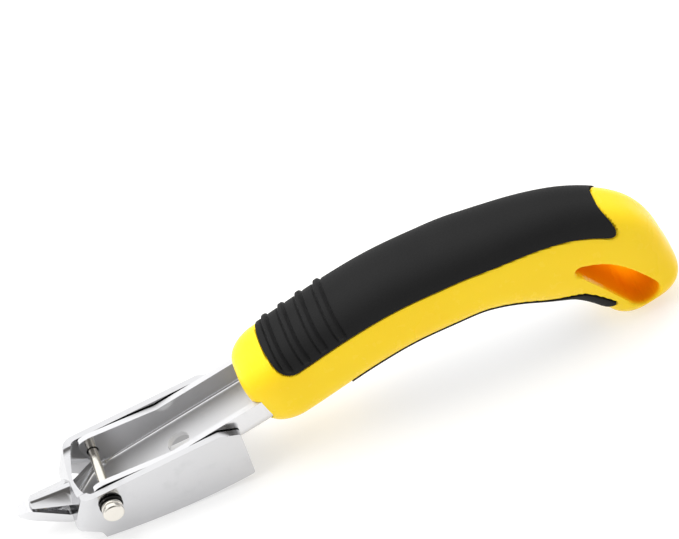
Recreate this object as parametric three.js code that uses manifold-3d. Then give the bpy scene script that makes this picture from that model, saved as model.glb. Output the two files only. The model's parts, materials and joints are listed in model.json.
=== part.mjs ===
// Upholstery staple remover: a pressed steel lever arm with a pointed lower jaw, and a steel
// jaw cover with a blunt upper jaw, joined by one cross pin, with a moulded handle on the arm.
//
// Everything is drawn in the arm's own frame: x runs back along the arm from the pin, z is up
// out of the open side of the arm's channel, y is across, and the pin's axis is the origin.
// The last group pitches that frame so that the cover's lower edges and the handle's tail
// stand on z = 0, with x = 0 and y = 0 in the middle of the tool. Millimetres.

import * as THREE from 'three';
import * as BufferGeometryUtils from 'three/addons/utils/BufferGeometryUtils.js';
import Module from 'manifold-3d';

const wasm = await Module();
wasm.setup();

// ---------------------------------------------------------------- driving dimensions
const GAP = 0.3;               // kept between pieces that touch
const SLIVER = 0.02;           // edges shorter than this are closed up
const CLEAR = 5;               // how far a cutting shape runs past what it cuts

const ARM_WIDTH = 20;          // lever arm, outside of the channel
const ARM_SHEET = 1.8;
const ARM_FLOOR = -5.7;        // inside of the channel's floor
const ARM_WALL_TOP = 0.8;      // wall height along the arm
const ARM_BEND = 3;            // outer radius of the two long bends
const EAR_TOP = 5;             // the walls rise to this beside the pin
const EAR_NOSE = 2.4;          // how far the walls reach in front of the pin
const EAR_SLOPE_END = 21;      // where the rising wall meets the straight wall
const FLOOR_HOLE = 6.5;
const FLOOR_HOLE_X = 21.9;
const TANG_DEPTH = 27;         // how far the arm goes into the handle

const LOWER_JAW_REACH = 25;    // pin to the pointed tip
const LOWER_JAW_ROOT = 12.5;   // pin to where the pointed part starts
const LOWER_JAW_TIP_TOP = 3.5; // top of the tip over the pin's axis
const LOWER_JAW_TIP_HEIGHT = 3;
const LOWER_JAW_TOP_DIP = 3;   // top of the jaw's root under the pin's axis
const LOWER_JAW_TIP_WIDTH = 3.4;
const LOWER_JAW_ROOT_WIDTH = 10.6;
const LOWER_JAW_DEPTH = 8.6;   // lowest point of the jaw under the pin's axis

const COVER_SHEET = 2;
const COVER_SIDE_GAP = 0.4;    // cover to arm, each side
const COVER_TOP_FRONT = 5.4;   // top edge of the cheeks, at the front and at the back
const COVER_TOP_BACK = 0.1;
const COVER_FRONT = 6;         // front of the top edge, ahead of the pin
const COVER_LEAN = 0.78;       // the front slopes forward this much for each mm down
const COVER_FRONT_BOTTOM = -2.2;
const COVER_BACK = 39.3;
const COVER_BACK_CHAMFER = 4.8;
const COVER_BACK_DROP = 3.9;
const COVER_HEEL = 35.5;       // rear end of the rocker edge
const COVER_HEEL_DEPTH = 18.4;
const COVER_SPUR = 7.2;        // front end of the rocker edge, ahead of the pin
const COVER_SPUR_DEPTH = 10.1;
const ROCKER_BULGE = 1.45;     // how far the rocker edge bows below its chord
const COVER_CORNER = 4;        // radius of the cover's two upright corners
const FRONT_DIP = 2.8;         // the front's top edge is lower than the cheeks by this

const UPPER_JAW_REACH = 20.3;
const UPPER_JAW_TIP_WIDTH = 5.2;
const UPPER_JAW_ROOT = 7.5;     // pin to where the jaw leaves the front
const UPPER_JAW_ROOT_WIDTH = 11.6;
const UPPER_JAW_CREST = 2.6;   // width of the rounded crest
const UPPER_JAW_TOP = 5;       // crest over the pin's axis, at the tip and at the root
const UPPER_JAW_ROOT_TOP = 1.9;
const UPPER_JAW_SHEET = 1.1;

const PIN_DIAMETER = 2.8;
const PIN_HEAD_DIAMETER = 5.9;
const PIN_HEAD_HEIGHT = 2.8;
const PIN_CAP_DIAMETER = 5;    // low cap on the pin's far end
const PIN_CAP_HEIGHT = 1.2;
const WASHER_DIAMETER = 7.3;
const WASHER_THICKNESS = 0.7;

const HANDLE_SIDE = 2;         // handle outside the arm, each side
const HANDLE_HEIGHT = 24;
const HANDLE_START = 46.5;
const HANDLE_SQUARENESS = 3.1; // 2 would be an ellipse, more is nearer a rounded box
const TAIL_POINT = 0.72;       // the tail's end is this share as high as the hook
const TAIL_WIDTH = 19.4;
const TAIL_HEIGHT = 30.8;      // at the thickest part of the hook
const GRIP_THICKNESS = 2.2;    // both rubber pads, let into the handle
const GRIP_PROUD = 0.35;       // how far they stand out of it
const TOP_GRIP_START = 10.8;   // distances along the centreline, from its front end
const TOP_GRIP_TAIL = 35.8;   // and from its tail end
const TOP_GRIP_SLANT = 11.4;   // its lower edges run this much further back
const TOP_GRIP_CORNER = 4.4;
const TOP_GRIP_WRAP = 5.8;     // how far the top pad comes down the handle's sides
const BELLY_GRIP_START = 24;
const BELLY_GRIP_TAIL = 10.6;
const BELLY_GRIP_WRAP = 2.8;
const BELLY_GRIP_CORNER = 1.6;
const FIRST_RIB = 2.6;         // behind the top pad's front end
const RIB_COUNT = 4;
const RIB_PITCH = 5.6;
const RIB_WIDTH = 1.6;
const RIB_HEIGHT = 0.6;

const SLOT_LENGTH = 30.2;        // hang slot through the tail
const SLOT_END_INSET = 3.8;    // from the tail's end
const SLOT_FRONT_WIDTH = 3.4;
const SLOT_REAR_WIDTH = 9.2;
const SLOT_FRONT_OFFSET = -1.8; // over the centreline, at the narrow and the wide end
const SLOT_REAR_OFFSET = -0.3;

// The handle's centreline: straight behind the arm, then hooking down to the tail. Its points
// are shares of how far it reaches along the arm and of how far it drops.
const HANDLE_REACH = 102.6;
const HANDLE_DROP = 46;
const HANDLE_RISE = -2;        // height of the centreline's front end
const HANDLE_LINE = new THREE.CatmullRomCurve3([
  [0, 0], [0.117, -0.006], [0.317, -0.034], [0.443, -0.029], [0.56, 0.01], [0.664, 0.062],
  [0.822, 0.229], [0.947, 0.452], [0.992, 0.743], [1, 1],
].map(([along, drop]) => new THREE.Vector3(
  HANDLE_START + along * HANDLE_REACH, 0, HANDLE_RISE - drop * HANDLE_DROP,
)), false, 'centripetal');
const HANDLE_LENGTH = HANDLE_LINE.getLength();

// ---------------------------------------------------------------- derived sizes
const armHalf = ARM_WIDTH / 2;
const handleWidth = ARM_WIDTH + 2 * HANDLE_SIDE;
const armBottom = ARM_FLOOR - ARM_SHEET;
const armEnd = HANDLE_START + TANG_DEPTH;
const coverInnerHalf = armHalf + COVER_SIDE_GAP;
const coverHalf = coverInnerHalf + COVER_SHEET;
const washerFace = coverHalf + GAP + WASHER_THICKNESS;
const headFace = washerFace + GAP + PIN_HEAD_HEIGHT;
const capFace = coverHalf + GAP + PIN_CAP_HEIGHT;
const upperJawFloor = LOWER_JAW_TIP_TOP + GAP;
const upperJawRootFloor = -1.4;
const pinEnd = coverHalf + GAP + 0.4;

// ---------------------------------------------------------------- materials
const chrome = () => new THREE.MeshStandardMaterial({ color: 0xc9cacc, metalness: 1, roughness: 0.18 });
const nickel = () => new THREE.MeshStandardMaterial({ color: 0xd6d4cb, metalness: 1, roughness: 0.3 });
const blackSteel = () => new THREE.MeshStandardMaterial({ color: 0x24221f, metalness: 0.6, roughness: 0.5 });
const yellow = () => new THREE.MeshStandardMaterial({ color: 0xf6c81e, metalness: 0, roughness: 0.35 });
const rubber = () => new THREE.MeshStandardMaterial({ color: 0x2e2e2e, metalness: 0, roughness: 0.8 });

// ---------------------------------------------------------------- solids
/** A closed three.js geometry as a solid that can be joined and cut. */
function solid(geometry) {
  const bare = geometry.index ? geometry.clone() : geometry;
  bare.deleteAttribute('normal');
  bare.deleteAttribute('uv');
  const merged = BufferGeometryUtils.mergeVertices(bare, 1e-4);
  return new wasm.Manifold(new wasm.Mesh({
    numProp: 3,
    vertProperties: new Float32Array(merged.attributes.position.array),
    triVerts: new Uint32Array(merged.index.array),
  }));
}

/** A manifold solid as a named mesh, without the slivers that cuts leave. */
function part(name, material, body) {
  const mesh = body.simplify(SLIVER).getMesh();
  const geometry = new THREE.BufferGeometry();
  geometry.setAttribute('position', new THREE.BufferAttribute(mesh.vertProperties, 3));
  geometry.setIndex(new THREE.BufferAttribute(mesh.triVerts, 1));
  geometry.computeVertexNormals();
  const result = new THREE.Mesh(geometry, material);
  result.name = name;
  return result;
}

/** A shape drawn in (x, z), extruded across y, centred on y = 0. */
function acrossY(shape, width, curveSegments = 8) {
  const geometry = new THREE.ExtrudeGeometry(shape, { depth: width, bevelEnabled: false, curveSegments });
  geometry.rotateX(Math.PI / 2);
  geometry.translate(0, width / 2, 0);
  return solid(geometry);
}

/** A shape drawn in (x, y), extruded up z from low to high; its x leans by lean per mm of z. */
function upZ(shape, low, high, lean = 0, curveSegments = 6) {
  const settings = { depth: high - low, bevelEnabled: false, curveSegments };
  const geometry = new THREE.ExtrudeGeometry(shape, settings);
  geometry.translate(0, 0, low);
  geometry.applyMatrix4(new THREE.Matrix4().makeShear(0, 0, 0, 0, lean, 0));
  return solid(geometry);
}

/** A cylinder along y, between two values of y. */
function crossBar(diameter, from, to, sides = 32) {
  const geometry = new THREE.CylinderGeometry(diameter / 2, diameter / 2, to - from, sides);
  geometry.translate(0, (from + to) / 2, 0);
  return solid(geometry);
}

/** A closed solid through rings of equally many points, made by moving a cylinder's vertices. */
function loft(rings) {
  const sides = rings[0].length;
  const last = rings.length - 1;
  const geometry = new THREE.CylinderGeometry(1, 1, 1, sides, last);
  const place = geometry.attributes.position;
  const middles = rings.map((ring) => {
    const sum = ring.reduce((total, point) => total.add(point), new THREE.Vector3());
    return sum.divideScalar(sides);
  });
  for (let i = 0; i < place.count; i += 1) {
    const ring = Math.round((0.5 - place.getY(i)) * last);
    const turn = Math.atan2(place.getX(i), place.getZ(i)) / (2 * Math.PI);
    const side = (Math.round(turn * sides) + sides) % sides;
    const onAxis = Math.hypot(place.getX(i), place.getZ(i)) < 0.5;
    const point = onAxis ? middles[ring] : rings[ring][side];
    place.setXYZ(i, point.x, point.y, point.z);
  }
  const body = solid(geometry);
  if (body.volume() > 0) return body;
  for (let i = 0; i < geometry.index.count; i += 3) {
    const swap = geometry.index.getX(i);
    geometry.index.setX(i, geometry.index.getX(i + 1));
    geometry.index.setX(i + 1, swap);
  }
  return solid(geometry);
}

/** A shape through points, with every given corner radius rounded by a curve. */
function roundedOutline(corners) {
  const shape = new THREE.Shape();
  const count = corners.length;
  corners.forEach(([x, z, radius = 0], i) => {
    const before = corners[(i + count - 1) % count];
    const after = corners[(i + 1) % count];
    const here = new THREE.Vector2(x, z);
    const back = new THREE.Vector2(before[0], before[1]).sub(here).normalize();
    const ahead = new THREE.Vector2(after[0], after[1]).sub(here).normalize();
    const setback = radius / Math.tan(back.angleTo(ahead) / 2);
    const start = here.clone().addScaledVector(back, setback);
    const end = here.clone().addScaledVector(ahead, setback);
    if (i === 0) shape.moveTo(start.x, start.y);
    else shape.lineTo(start.x, start.y);
    if (radius > 0) shape.quadraticCurveTo(x, z, end.x, end.y);
  });
  shape.closePath();
  return shape;
}

// ---------------------------------------------------------------- handle
/** The centreline's point, tangent and upward normal at a share of its length. */
function handleFrame(share) {
  const point = HANDLE_LINE.getPointAt(share);
  const tangent = HANDLE_LINE.getTangentAt(share);
  const normal = new THREE.Vector3(-tangent.z, 0, tangent.x);
  return { point, tangent, normal };
}

/** How full the handle is near an end whose rounding is reach long and starts at a share. */
function endFullness(distance, reach, least) {
  const along = THREE.MathUtils.clamp(distance / reach, 0, 1);
  return least + (1 - least) * Math.sqrt(1 - (1 - along) ** 2);
}

/** The handle's half width and half height at a share of the centreline. */
function handleSize(share) {
  const fromFront = share * HANDLE_LENGTH;
  const fromTail = HANDLE_LENGTH - fromFront;
  const narrowing = THREE.MathUtils.smoothstep(fromTail, 12, 70);
  const hook = 1 - THREE.MathUtils.smoothstep(fromTail, 34, 62);
  const point = THREE.MathUtils.lerp(TAIL_POINT, 1, THREE.MathUtils.smoothstep(fromTail, 2, 25));
  const front = endFullness(fromFront, 10, 0.55);
  const tail = endFullness(fromTail, 7, 0.3);
  return {
    width: (THREE.MathUtils.lerp(TAIL_WIDTH, handleWidth, narrowing) / 2) * front * tail,
    height: (THREE.MathUtils.lerp(HANDLE_HEIGHT, TAIL_HEIGHT, hook) / 2) * front * tail * point,
  };
}

/** The handle's shape, grown or shrunk by an offset, from share a to share b of its length. */
function handleLoft(offset, sides = 36) {
  const stations = [0, 0.004, 0.014, 0.032, 0.055];
  for (let share = 0.09; share < 0.94; share += 0.03) stations.push(share);
  stations.push(0.955, 0.972, 0.985, 0.995, 1);
  const power = 2 / HANDLE_SQUARENESS;
  return loft(stations.map((share) => {
    const { point, normal } = handleFrame(share);
    const { width, height } = handleSize(share);
    const ring = [];
    for (let i = 0; i < sides; i += 1) {
      const turn = (i / sides) * 2 * Math.PI;
      const across = Math.sign(Math.cos(turn)) * Math.abs(Math.cos(turn)) ** power;
      const up = Math.sign(Math.sin(turn)) * Math.abs(Math.sin(turn)) ** power;
      const where = point.clone().addScaledVector(normal, up * (height + offset));
      where.y = across * (width + offset);
      ring.push(where);
    }
    return ring;
  }));
}

/** A point over the centreline: a distance along it, and a height from the half height there. */
function besideLine(distance, heightAt) {
  const share = distance / HANDLE_LENGTH;
  const { point, normal } = handleFrame(share);
  point.addScaledVector(normal, heightAt(handleSize(share).height));
  return new THREE.Vector2(point.x, point.z);
}

/** One long edge of a band: points beside the centreline between two distances along it. */
function bandEdge(from, to, heightAt) {
  const steps = 22;
  const edge = [];
  for (let i = 0; i <= steps; i += 1) {
    edge.push(besideLine(THREE.MathUtils.lerp(from, to, i / steps), heightAt));
  }
  return edge;
}

/**
 * The band beside the centreline, right across y, from one distance along it to another. Its
 * two inner corners are rounded, and its inner edge runs further back by the slant.
 */
function handleBand({ from, to, innerAt, outerAt, corner, slant = 0 }) {
  const outer = bandEdge(from, to, outerAt);
  const inner = bandEdge(from + corner, to + slant - corner, innerAt).reverse();
  const rear = besideLine(to + slant, innerAt);
  const front = besideLine(from, innerAt);
  const rearStart = rear.clone().lerp(outer.at(-1), corner / rear.distanceTo(outer.at(-1)));
  const frontEnd = front.clone().lerp(outer[0], corner / front.distanceTo(outer[0]));
  const shape = new THREE.Shape(outer);
  shape.lineTo(rearStart.x, rearStart.y);
  shape.quadraticCurveTo(rear.x, rear.y, inner[0].x, inner[0].y);
  inner.slice(1).forEach((point) => shape.lineTo(point.x, point.y));
  shape.quadraticCurveTo(front.x, front.y, frontEnd.x, frontEnd.y);
  shape.closePath();
  return acrossY(shape, 2 * handleWidth, 5);
}

/** The band that holds the top pad, grown by an offset on three sides. */
function topGripBand(grow) {
  const lean = Math.hypot(1, TOP_GRIP_SLANT / (TOP_GRIP_WRAP + CLEAR));
  return handleBand({
    from: TOP_GRIP_START - grow,
    to: HANDLE_LENGTH - TOP_GRIP_TAIL + grow * lean,
    innerAt: (half) => half - TOP_GRIP_WRAP - grow,
    outerAt: (half) => half + CLEAR,
    corner: TOP_GRIP_CORNER,
    slant: TOP_GRIP_SLANT,
  });
}

/** The band that holds the belly pad, grown by an offset on three sides. */
function bellyGripBand(grow) {
  return handleBand({
    from: BELLY_GRIP_START - grow,
    to: HANDLE_LENGTH - BELLY_GRIP_TAIL + grow,
    innerAt: (half) => BELLY_GRIP_WRAP + grow - half,
    outerAt: (half) => -half - CLEAR,
    corner: BELLY_GRIP_CORNER,
  });
}

/** The thin ribs across the front of the top pad. */
function gripRibs() {
  const skin = handleLoft(GRIP_PROUD + RIB_HEIGHT);
  const ribs = [];
  for (let i = 0; i < RIB_COUNT; i += 1) {
    const from = TOP_GRIP_START + FIRST_RIB + i * RIB_PITCH;
    ribs.push(skin.intersect(handleBand({
      from,
      to: from + RIB_WIDTH,
      innerAt: (half) => half - TOP_GRIP_WRAP + 1,
      outerAt: (half) => half + CLEAR,
      corner: RIB_WIDTH / 4,
    })));
  }
  return ribs.reduce((all, rib) => all.add(rib)).subtract(handleLoft(-GRIP_THICKNESS / 2));
}

function gripShell() {
  return handleLoft(GRIP_PROUD).subtract(handleLoft(-GRIP_THICKNESS));
}

function topGrip() {
  return gripShell().intersect(topGripBand(0)).add(gripRibs());
}

function bellyGrip() {
  return gripShell().intersect(bellyGripBand(0));
}

/** The hang slot's outline, narrow in front and wide behind, bent with the centreline. */
function hangSlot() {
  const from = 1 - (SLOT_END_INSET + SLOT_LENGTH) / HANDLE_LENGTH;
  const to = 1 - SLOT_END_INSET / HANDLE_LENGTH;
  const steps = 12;
  const upper = [];
  const lower = [];
  for (let i = 0; i <= steps; i += 1) {
    const along = i / steps;
    const { point, normal } = handleFrame(THREE.MathUtils.lerp(from, to, along));
    const half = THREE.MathUtils.lerp(SLOT_FRONT_WIDTH, SLOT_REAR_WIDTH, along) / 2;
    const fromFront = along * SLOT_LENGTH;
    const fromRear = SLOT_LENGTH - fromFront;
    const nearest = Math.min(1, Math.min(fromFront, fromRear) / half);
    const reach = half * Math.sqrt(Math.max(0.02, 1 - (1 - nearest) ** 2));
    const offset = THREE.MathUtils.lerp(SLOT_FRONT_OFFSET, SLOT_REAR_OFFSET, along);
    const a = point.clone().addScaledVector(normal, offset + reach);
    const b = point.clone().addScaledVector(normal, offset - reach);
    upper.push(new THREE.Vector2(a.x, a.z));
    lower.unshift(new THREE.Vector2(b.x, b.z));
  }
  return acrossY(new THREE.Shape([...upper, ...lower]), 2 * handleWidth);
}

function handleBody() {
  const core = handleLoft(-GRIP_THICKNESS - GAP);
  const pocket = channel(GAP, HANDLE_START - 12, armEnd + GAP, ARM_WALL_TOP + GAP);
  return handleLoft(0)
    .subtract(topGripBand(GAP).subtract(core))
    .subtract(bellyGripBand(GAP).subtract(core))
    .subtract(hangSlot())
    .subtract(pocket);
}

// ---------------------------------------------------------------- lever arm
/** The bent channel between two values of x, grown by an offset, with walls up to top. */
function channel(grow, from, to, top) {
  const half = armHalf + grow;
  const bottom = armBottom - grow;
  const inner = half - ARM_SHEET - 2 * grow;
  const floor = ARM_FLOOR + grow;
  const innerBend = Math.max(0.4, ARM_BEND - ARM_SHEET - grow);
  const section = roundedOutline([
    [-half, top], [-half, bottom, ARM_BEND + grow], [half, bottom, ARM_BEND + grow], [half, top],
    [inner, top], [inner, floor, innerBend], [-inner, floor, innerBend], [-inner, top],
  ]);
  const geometry = new THREE.ExtrudeGeometry(section, {
    depth: to - from, bevelEnabled: false, curveSegments: 6,
  });
  // The section's x is across and its y is up; the extrusion runs along x.
  geometry.applyMatrix4(new THREE.Matrix4().makeBasis(
    new THREE.Vector3(0, 1, 0), new THREE.Vector3(0, 0, 1), new THREE.Vector3(1, 0, 0),
  ));
  geometry.translate(from, 0, 0);
  return solid(geometry);
}

/** One ring of a trough: flat on top, upright sides, rounded below. */
function troughRing(x, half, top, bottom, radius) {
  const ring = [];
  const bend = Math.min(radius, half * 0.92, (top - bottom) * 0.8);
  const steps = 5;
  ring.push(new THREE.Vector3(x, half, top));
  for (let i = 0; i <= steps; i += 1) {
    const turn = (i / steps) * (Math.PI / 2);
    const across = half - bend + bend * Math.cos(turn);
    ring.push(new THREE.Vector3(x, across, bottom + bend - bend * Math.sin(turn)));
  }
  for (let i = steps; i >= 0; i -= 1) {
    const turn = (i / steps) * (Math.PI / 2);
    const across = half - bend + bend * Math.cos(turn);
    ring.push(new THREE.Vector3(x, -across, bottom + bend - bend * Math.sin(turn)));
  }
  ring.push(new THREE.Vector3(x, -half, top));
  return ring;
}

/** The lower jaw's half width, top and bottom at a distance in front of the pin. */
function lowerJawAt(reach) {
  const { lerp, clamp, smoothstep } = THREE.MathUtils;
  const rootHalf = LOWER_JAW_ROOT_WIDTH / 2;
  if (reach > LOWER_JAW_ROOT) {
    const forward = clamp((reach - LOWER_JAW_ROOT) / (LOWER_JAW_REACH - LOWER_JAW_ROOT), 0, 1);
    return {
      half: lerp(rootHalf, LOWER_JAW_TIP_WIDTH / 2, forward),
      top: lerp(-LOWER_JAW_TOP_DIP, LOWER_JAW_TIP_TOP, Math.min(1, forward * 1.5)),
      bottom: lerp(-LOWER_JAW_DEPTH, LOWER_JAW_TIP_TOP - LOWER_JAW_TIP_HEIGHT, forward ** 1.3),
    };
  }
  const back = clamp(reach / LOWER_JAW_ROOT, 0, 1);
  return {
    half: lerp(armHalf, rootHalf, smoothstep(back, 0.1, 0.95)),
    top: lerp(ARM_FLOOR + 1.2, -LOWER_JAW_TOP_DIP, smoothstep(back, 0.2, 1)),
    bottom: lerp(armBottom, -LOWER_JAW_DEPTH, smoothstep(back, 0, 0.8)),
  };
}

/** Distances in front of the pin: in even steps up to the root, then in shares of the point. */
function jawStations(behind, shares) {
  const steps = 6;
  const stations = [-behind];
  for (let i = 0; i <= steps; i += 1) stations.push((i / steps) * LOWER_JAW_ROOT);
  shares.forEach((share) => stations.push(THREE.MathUtils.lerp(LOWER_JAW_ROOT, LOWER_JAW_REACH, share)));
  return stations;
}

/** The pressed lower jaw: a trough that narrows to a solid, rounded point. */
function lowerJaw() {
  const roundStart = LOWER_JAW_REACH - 2.6;
  const roundReach = 3.2;
  const outer = loft(jawStations(1, [0.16, 0.34, 0.52, 0.68, 0.81, 0.9, 0.97, 1]).map((reach) => {
    const { half, top, bottom } = lowerJawAt(reach);
    const blunt = Math.sqrt(1 - Math.max(0, (reach - roundStart) / roundReach) ** 2);
    const middle = (top + bottom) / 2;
    const halfHeight = ((top - bottom) / 2) * (0.3 + 0.7 * blunt);
    return troughRing(-reach, half * blunt, middle + halfHeight, middle - halfHeight, ARM_BEND + 0.4);
  }));
  const hollow = loft(jawStations(2, [0.16, 0.34, 0.48]).map((reach) => {
    const { half, bottom } = lowerJawAt(reach);
    return troughRing(-reach, half - ARM_SHEET, COVER_TOP_FRONT + CLEAR, bottom + ARM_SHEET, 2);
  }));
  return outer.subtract(hollow);
}

/** The arm's side outline, which trims the channel's walls. */
function wallOutline() {
  return roundedOutline([
    [-EAR_NOSE, armBottom - 1], [-EAR_NOSE, EAR_TOP, 2.2], [1.5, EAR_TOP, 1],
    [EAR_SLOPE_END, ARM_WALL_TOP, 2], [armEnd, ARM_WALL_TOP], [armEnd, armBottom - 1],
  ]);
}

function leverArm() {
  const walls = channel(0, -EAR_NOSE, armEnd, EAR_TOP + 1).intersect(acrossY(wallOutline(), ARM_WIDTH + 2));
  const mouthBack = 0.9;
  const mouthFront = -EAR_NOSE - 1;
  const mouth = new THREE.BoxGeometry(mouthBack - mouthFront, ARM_WIDTH - 2 * ARM_SHEET, 4 * EAR_TOP);
  mouth.translate((mouthBack + mouthFront) / 2, 0, 0);
  const hole = new THREE.CylinderGeometry(FLOOR_HOLE / 2, FLOOR_HOLE / 2, 6 * ARM_SHEET, 32);
  hole.rotateX(Math.PI / 2);
  hole.translate(FLOOR_HOLE_X, 0, ARM_FLOOR);
  return walls
    .subtract(solid(mouth))
    .add(lowerJaw())
    .subtract(solid(hole))
    .subtract(crossBar(PIN_DIAMETER + 2 * GAP, -ARM_WIDTH, ARM_WIDTH));
}

// ---------------------------------------------------------------- jaw cover
function frontOf(z) {
  return -COVER_FRONT - COVER_LEAN * (COVER_TOP_FRONT - z);
}

/** One cheek seen from the side: straight top, sloping front, spur, bowed rocker edge, heel. */
function cheekOutline() {
  const bottomFront = frontOf(COVER_FRONT_BOTTOM);
  const shape = new THREE.Shape();
  shape.moveTo(-COVER_FRONT, COVER_TOP_FRONT);
  shape.lineTo(bottomFront, COVER_FRONT_BOTTOM);
  shape.quadraticCurveTo(
    bottomFront - 0.2, COVER_FRONT_BOTTOM - 1.2, bottomFront + 1.4, COVER_FRONT_BOTTOM - 1.8,
  );
  shape.lineTo(-COVER_SPUR - 0.2, -COVER_SPUR_DEPTH + 2.6);
  shape.quadraticCurveTo(-COVER_SPUR + 0.1, -COVER_SPUR_DEPTH + 2, -COVER_SPUR, -COVER_SPUR_DEPTH);
  const chordX = (COVER_HEEL - COVER_SPUR) / 2;
  const chordZ = -(COVER_HEEL_DEPTH + COVER_SPUR_DEPTH) / 2;
  shape.quadraticCurveTo(chordX, chordZ - 2 * ROCKER_BULGE, COVER_HEEL - 0.8, -COVER_HEEL_DEPTH);
  shape.quadraticCurveTo(COVER_HEEL + 0.1, -COVER_HEEL_DEPTH, COVER_HEEL + 0.3, -COVER_HEEL_DEPTH + 0.9);
  shape.lineTo(COVER_BACK, -COVER_BACK_DROP);
  shape.quadraticCurveTo(COVER_BACK + 0.2, -COVER_BACK_DROP + 1, COVER_BACK - 0.8, -COVER_BACK_DROP + 1.4);
  shape.lineTo(COVER_BACK - COVER_BACK_CHAMFER, COVER_TOP_BACK);
  shape.closePath();
  return shape;
}

/** The cover seen from above at z = 0: two cheeks and a front, grown inwards by an offset. */
function coverPlan(inset) {
  const half = coverHalf - inset;
  const corner = Math.max(1, COVER_CORNER - inset);
  const front = frontOf(0) + inset * Math.hypot(1, COVER_LEAN);
  const back = COVER_BACK + 30;
  const crown = 1.6;
  return roundedOutline([
    [front - crown, 0, 6], [front, -half, corner], [back, -half], [back, half], [front, half, corner],
  ]);
}

/** One ring of the upper jaw: a rounded crest with straight sides that widen downwards. */
function crestRing(x, half, crest, top, bottom) {
  const drop = Math.min(0.9, (top - bottom) * 0.5);
  return [
    [half, bottom], [crest, top - drop], [crest * 0.72, top - drop * 0.35], [crest * 0.3, top],
    [-crest * 0.3, top], [-crest * 0.72, top - drop * 0.35], [-crest, top - drop], [-half, bottom],
    [-half * 0.4, bottom], [half * 0.4, bottom],
  ].map(([y, z]) => new THREE.Vector3(x, y, z));
}

/** The upper jaw as a solid wedge, shrunk by an inset, its underside lower by a drop. */
function upperJawWedge(inset, drop) {
  const { lerp } = THREE.MathUtils;
  const crest = UPPER_JAW_CREST / 2 - inset * 0.4;
  const rootHalf = UPPER_JAW_ROOT_WIDTH / 2 - inset;
  const tipHalf = UPPER_JAW_TIP_WIDTH / 2 - inset;
  const tipBlunt = 0.86;
  return loft([0, 0.25, 0.5, 0.75, 0.95, 1].map((share) => {
    const reach = lerp(UPPER_JAW_ROOT, UPPER_JAW_REACH - inset, share);
    const blunt = share === 1 ? tipBlunt : 1;
    const half = lerp(rootHalf, tipHalf, share);
    const top = lerp(UPPER_JAW_ROOT_TOP, UPPER_JAW_TOP, share) - inset - (1 - blunt) * 3;
    const bottom = Math.min(lerp(upperJawRootFloor, upperJawFloor, share), top - 1) - drop;
    return crestRing(-reach, half * blunt, crest * blunt, top, bottom);
  }));
}

/** The room that the lower jaw's root needs under the cover's front. */
function lowerJawWay() {
  const top = GAP + 0.1 - LOWER_JAW_TOP_DIP;
  const way = new THREE.BoxGeometry(2 * COVER_FRONT, LOWER_JAW_ROOT_WIDTH + 5 * GAP, LOWER_JAW_DEPTH);
  way.translate(-2 * COVER_FRONT, 0, top - LOWER_JAW_DEPTH / 2);
  return solid(way);
}

function jawCover() {
  const side = acrossY(cheekOutline(), 2 * coverHalf + 2, 14);
  const low = -COVER_HEEL_DEPTH - 2;
  const high = COVER_TOP_FRONT + 2;
  const outer = upZ(coverPlan(0), low, high, COVER_LEAN);
  const inner = upZ(coverPlan(COVER_SHEET), low - 1, high + 1, COVER_LEAN);
  const dipHalf = coverInnerHalf * 0.9;
  const dip = new THREE.CylinderGeometry(dipHalf, dipHalf, 2 * COVER_FRONT, 32);
  dip.scale(1, 1, FRONT_DIP / dipHalf);
  dip.rotateZ(Math.PI / 2);
  dip.translate(-COVER_FRONT - 2, 0, COVER_TOP_FRONT + 0.2);
  return outer
    .intersect(side)
    .subtract(solid(dip))
    .add(upperJawWedge(0, 0))
    .subtract(inner)
    .subtract(upperJawWedge(UPPER_JAW_SHEET, COVER_HEEL_DEPTH))
    .subtract(lowerJawWay())
    .subtract(crossBar(PIN_DIAMETER + 2 * GAP, -2 * coverHalf, 2 * coverHalf));
}

// ---------------------------------------------------------------- pin
/** A solid of revolution about y, from a profile of radius and height. */
function turned(profile, lift) {
  const geometry = new THREE.LatheGeometry(profile.map(([r, y]) => new THREE.Vector2(r, y)), 32);
  geometry.translate(0, lift, 0);
  return geometry;
}

/** The cross pin with its head: a drum with one groove round it and a chamfered face. */
function pivotPin() {
  const r = PIN_HEAD_DIAMETER / 2;
  const h = PIN_HEAD_HEIGHT;
  const groove = 0.25;
  const chamfer = 0.35;
  const head = turned([
    [0, 0], [r, 0], [r, 0.9], [r - groove, 1], [r - groove, 1.2], [r, 1.3],
    [r, h - chamfer], [r - chamfer, h], [0, h],
  ], headFace - h).rotateX(Math.PI);
  return crossBar(PIN_DIAMETER, GAP - headFace, pinEnd).add(solid(head));
}

/** The low cap pressed on the pin's far end, with a blind socket for it. */
function pinCap() {
  const r = PIN_CAP_DIAMETER / 2;
  const h = PIN_CAP_HEIGHT;
  const chamfer = 0.35;
  const cap = turned([[0, 0], [r, 0], [r, h - chamfer], [r - chamfer, h], [0, h]], capFace - h);
  return solid(cap).subtract(crossBar(PIN_DIAMETER + 2 * GAP, 0, pinEnd + GAP));
}

/** The washer under the pin's head. */
function washer() {
  return crossBar(WASHER_DIAMETER, -washerFace, -coverHalf - GAP, 36)
    .subtract(crossBar(PIN_DIAMETER + 2 * GAP, -washerFace - 1, 0));
}

// ---------------------------------------------------------------- assembly
const armFrame = new THREE.Group();
armFrame.add(
  part('lever_arm', chrome(), leverArm()),
  part('jaw_cover', chrome(), jawCover()),
  part('pivot_pin', nickel(), pivotPin()),
  part('pin_cap', nickel(), pinCap()),
  part('pin_washer', blackSteel(), washer()),
  part('handle_body', yellow(), handleBody()),
  part('top_grip', rubber(), topGrip()),
  part('belly_grip', rubber(), bellyGrip()),
);

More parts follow.
